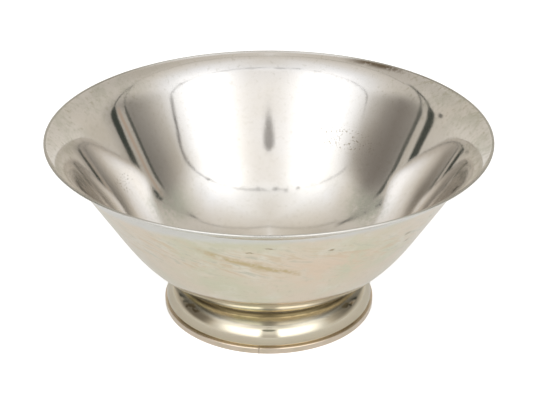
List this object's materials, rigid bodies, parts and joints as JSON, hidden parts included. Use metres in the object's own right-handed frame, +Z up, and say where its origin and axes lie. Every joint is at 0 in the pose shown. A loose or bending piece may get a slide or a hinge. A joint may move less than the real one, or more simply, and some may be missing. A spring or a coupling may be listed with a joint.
{
  "type": "punch bowl",
  "caption": "Wide footed punch bowl in polished silver: a round-bottomed bowl with straight flaring sides and an out-curved rim, soldered to a low hollow foot on a wire base.",
  "frame": {"origin": "centre of the face that the foot stands on", "axes": "+Z up along the bowl's axis, the seam of the base wire is near -Y"},
  "size_m": [0.3559, 0.356, 0.1558],
  "materials": {
    "bowl_silver": "mirror-polished silver with light tarnish, fine scratches and a few pits",
    "foot_silver": "polished silver, a little yellower with tarnish in the neck",
    "wire_silver": "polished silver, rubbed along the edge that it stands on",
    "solder": "dull silver solder, darkened with tarnish"
  },
  "bodies": {
    "root": {"bowl_body": "bowl_silver", "foot_shell": "foot_silver", "base_wire": "wire_silver", "neck_solder": "solder", "foot_edge_solder": "solder", "wire_seam_solder": "solder"}
  },
  "joints": []
}
